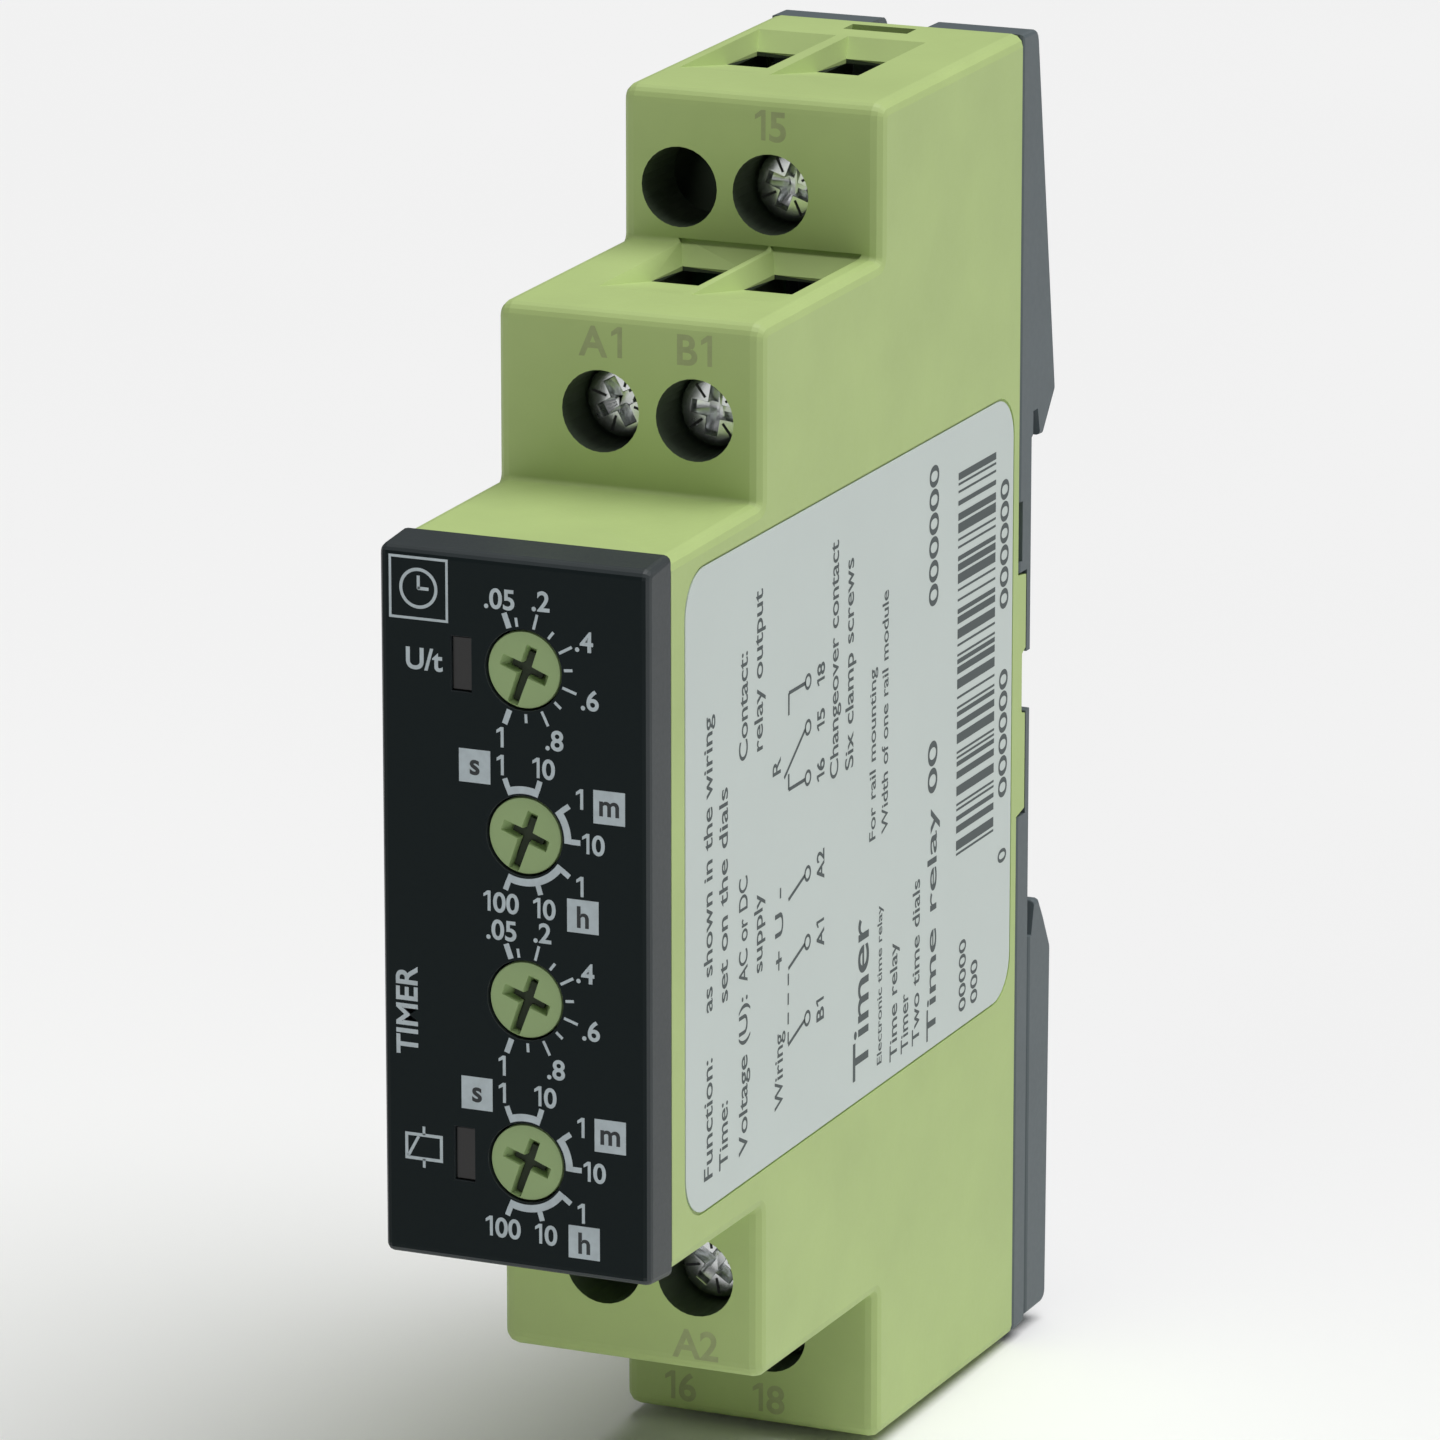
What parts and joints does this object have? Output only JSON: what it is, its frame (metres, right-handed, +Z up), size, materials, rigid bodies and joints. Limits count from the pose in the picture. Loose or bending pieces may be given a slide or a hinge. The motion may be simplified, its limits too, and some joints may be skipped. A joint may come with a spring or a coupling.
{
  "type": "din rail timer",
  "caption": "Narrow stepped timer module for a 35 mm DIN rail, with a black dial panel, screw terminals on both ends, a side label and a spring foot at the back.",
  "frame": {"origin": "centre of the 35 mm rail, on the plane of the base where the rail's front face rests, midway between the two sides", "axes": "+X to the right seen from the front, +Y from the dial panel towards the rail, +Z up along the module"},
  "size_m": [0.0176, 0.0652, 0.0872],
  "materials": {
    "case_green": "fine satin moulded grain",
    "foot_grey": "fine moulded grain",
    "cover_black": "satin moulded",
    "label_film": "satin printed film",
    "knob_lime": "satin moulded",
    "light_guide": "smoked clear",
    "screw_zinc": "zinc plated",
    "clamp_steel": "zinc plated, pressed",
    "spring_steel": "drawn wire",
    "contact_brass": "rolled strip",
    "board_green": "solder resist",
    "part_blue": "moulded",
    "part_black": "moulded",
    "capacitor_can": "sleeved can",
    "capacitor_cream": "cast resin box",
    "led_green": "clear lens",
    "led_yellow": "clear lens",
    "coil_copper": "enamelled wire winding",
    "iron_steel": "nickel plated"
  },
  "bodies": {
    "case": {"housing": "case_green", "base": "foot_grey", "front_cover": "cover_black", "side_label": "label_film", "foot_spring": "spring_steel", "trimmer_1": "part_blue", "trimmer_2": "part_blue", "trimmer_3": "part_blue", "trimmer_4": "part_blue", "front_board": "board_green", "main_board": "board_green", "board_header": "part_black", "light_guide_supply": "light_guide", "light_guide_relay": "light_guide", "led_supply": "led_green", "led_relay": "led_yellow", "capacitor_1": "capacitor_can", "capacitor_2": "capacitor_can", "inductor": "part_black", "film_capacitor": "capacitor_cream", "varistor": "part_blue", "microcontroller": "part_black", "relay_base": "part_black", "relay_case": "part_black", "relay_coil": "coil_copper", "relay_yoke": "iron_steel", "relay_contact_closed": "contact_brass", "relay_contact_open": "contact_brass", "contact_bar_15": "contact_brass", "contact_bar_a1": "contact_brass", "contact_bar_b1": "contact_brass", "contact_bar_a2": "contact_brass", "contact_bar_16": "contact_brass", "contact_bar_18": "contact_brass"},
    "foot": {"rail_foot": "foot_grey"},
    "dial_1": {"knob_1": "knob_lime"},
    "dial_2": {"knob_2": "knob_lime"},
    "dial_3": {"knob_3": "knob_lime"},
    "dial_4": {"knob_4": "knob_lime"},
    "clamp_screw_15": {"screw_15": "screw_zinc"},
    "clamp_screw_a1": {"screw_a1": "screw_zinc"},
    "clamp_screw_b1": {"screw_b1": "screw_zinc"},
    "clamp_screw_a2": {"screw_a2": "screw_zinc"},
    "clamp_screw_16": {"screw_16": "screw_zinc"},
    "clamp_screw_18": {"screw_18": "screw_zinc"},
    "clamp_cage_15": {"cage_15": "clamp_steel"},
    "clamp_cage_a1": {"cage_a1": "clamp_steel"},
    "clamp_cage_b1": {"cage_b1": "clamp_steel"},
    "clamp_cage_a2": {"cage_a2": "clamp_steel"},
    "clamp_cage_16": {"cage_16": "clamp_steel"},
    "clamp_cage_18": {"cage_18": "clamp_steel"},
    "armature": {"relay_armature": "iron_steel", "relay_moving_contact": "contact_brass"}
  },
  "joints": [
    {"name": "foot_slide", "type": "slide", "parent": "case", "child": "foot", "axis": [0, 0, -1], "range_m": [0, 0.0028], "stiffness_N_per_m": 700, "springref_m": -0.003, "deforming": ["foot_spring"]},
    {"name": "dial_1_turn", "type": "hinge", "parent": "case", "child": "dial_1", "pos_m": [0.00065, -0.061, 0.01444], "axis": [0, -1, 0], "range_deg": [0, 220]},
    {"name": "dial_2_turn", "type": "hinge", "parent": "case", "child": "dial_2", "pos_m": [0.00065, -0.061, 0.00428], "axis": [0, -1, 0], "range_deg": [0, 220]},
    {"name": "dial_3_turn", "type": "hinge", "parent": "case", "child": "dial_3", "pos_m": [0.00065, -0.061, -0.00588], "axis": [0, -1, 0], "range_deg": [0, 220]},
    {"name": "dial_4_turn", "type": "hinge", "parent": "case", "child": "dial_4", "pos_m": [0.00065, -0.061, -0.01604], "axis": [0, -1, 0], "range_deg": [0, 220]},
    {"name": "screw_15_turn", "type": "hinge", "parent": "case", "child": "clamp_screw_15", "pos_m": [0.0013, -0.0228, 0.0363], "axis": [0, 1, 0], "range_deg": [0, 1350]},
    {"name": "screw_a1_turn", "type": "hinge", "parent": "case", "child": "clamp_screw_a1", "pos_m": [-0.00185, -0.0414, 0.0263], "axis": [0, 1, 0], "range_deg": [0, 1350]},
    {"name": "screw_b1_turn", "type": "hinge", "parent": "case", "child": "clamp_screw_b1", "pos_m": [0.00435, -0.0414, 0.0263], "axis": [0, 1, 0], "range_deg": [0, 1350]},
    {"name": "screw_a2_turn", "type": "hinge", "parent": "case", "child": "clamp_screw_a2", "pos_m": [0.00435, -0.0414, -0.0279], "axis": [0, 1, 0], "range_deg": [0, 1350]},
    {"name": "screw_16_turn", "type": "hinge", "parent": "case", "child": "clamp_screw_16", "pos_m": [-0.00485, -0.0228, -0.0379], "axis": [0, 1, 0], "range_deg": [0, 1350]},
    {"name": "screw_18_turn", "type": "hinge", "parent": "case", "child": "clamp_screw_18", "pos_m": [0.0013, -0.0228, -0.0379], "axis": [0, 1, 0], "range_deg": [0, 1350]},
    {"name": "cage_15_slide", "type": "slide", "parent": "case", "child": "clamp_cage_15", "axis": [0, -1, 0], "range_m": [0, 0.00187]},
    {"name": "cage_a1_slide", "type": "slide", "parent": "case", "child": "clamp_cage_a1", "axis": [0, -1, 0], "range_m": [0, 0.00187]},
    {"name": "cage_b1_slide", "type": "slide", "parent": "case", "child": "clamp_cage_b1", "axis": [0, -1, 0], "range_m": [0, 0.00187]},
    {"name": "cage_a2_slide", "type": "slide", "parent": "case", "child": "clamp_cage_a2", "axis": [0, -1, 0], "range_m": [0, 0.00187]},
    {"name": "cage_16_slide", "type": "slide", "parent": "case", "child": "clamp_cage_16", "axis": [0, -1, 0], "range_m": [0, 0.00187]},
    {"name": "cage_18_slide", "type": "slide", "parent": "case", "child": "clamp_cage_18", "axis": [0, -1, 0], "range_m": [0, 0.00187]},
    {"name": "relay_armature_swing", "type": "hinge", "parent": "case", "child": "armature", "pos_m": [-0.00385, -0.0144, 0.004], "axis": [0, 1, 0], "range_deg": [0, 4.5], "stiffness_Nm_per_rad": 0.04, "springref_deg": -5.73}
  ],
  "couplings": [
    {"joint": "screw_15_turn", "follows": "cage_15_slide", "rad_per_m": 12566},
    {"joint": "screw_a1_turn", "follows": "cage_a1_slide", "rad_per_m": 12566},
    {"joint": "screw_b1_turn", "follows": "cage_b1_slide", "rad_per_m": 12566},
    {"joint": "screw_a2_turn", "follows": "cage_a2_slide", "rad_per_m": 12566},
    {"joint": "screw_16_turn", "follows": "cage_16_slide", "rad_per_m": 12566},
    {"joint": "screw_18_turn", "follows": "cage_18_slide", "rad_per_m": 12566}
  ]
}
